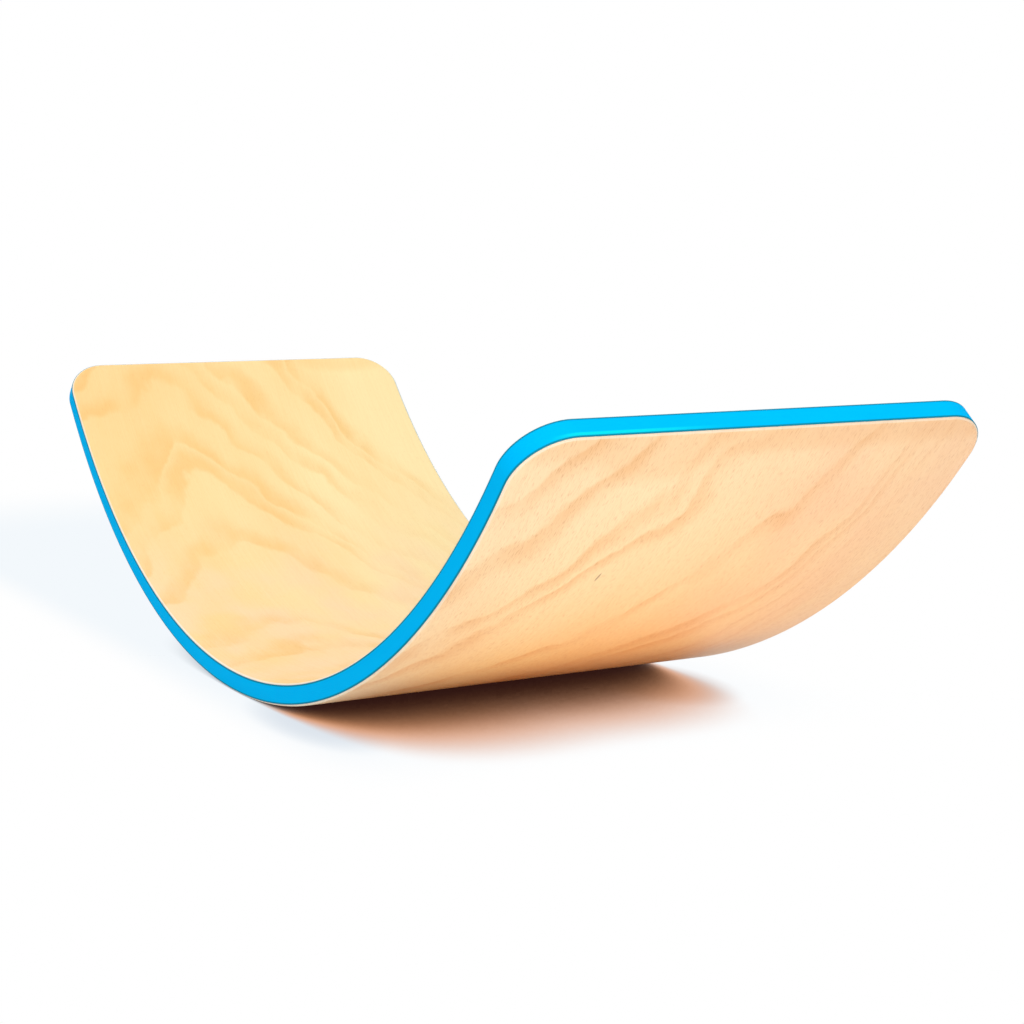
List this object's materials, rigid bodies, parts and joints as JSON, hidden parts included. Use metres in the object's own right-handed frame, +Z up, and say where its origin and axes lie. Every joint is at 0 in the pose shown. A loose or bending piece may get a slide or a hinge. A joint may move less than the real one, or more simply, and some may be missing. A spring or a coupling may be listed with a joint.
{
  "type": "balance board",
  "caption": "Curved wooden balance board: a bent beech laminate with upswept ends, rounded corners and a blue painted edge, to rock, stand, sit or lie on.",
  "frame": {"origin": "middle of the lowest line of the convex underside, where the board touches a level floor", "axes": "+X along the board towards one end, +Y across it, +Z up out of the hollow side"},
  "size_m": [0.816, 0.3006, 0.2087],
  "materials": {
    "face_beech": "clear matt lacquer",
    "core_beech": "bare",
    "cross_beech": "bare",
    "edge_paint": "satin paint"
  },
  "bodies": {
    "root": {"upper_face_veneer": "face_beech", "lower_face_veneer": "face_beech", "crossband_1": "cross_beech", "crossband_2": "cross_beech", "crossband_3": "cross_beech", "crossband_4": "cross_beech", "crossband_5": "cross_beech", "long_core_1": "core_beech", "long_core_2": "core_beech", "long_core_3": "core_beech", "long_core_4": "core_beech", "edge_paint": "edge_paint"}
  },
  "joints": []
}
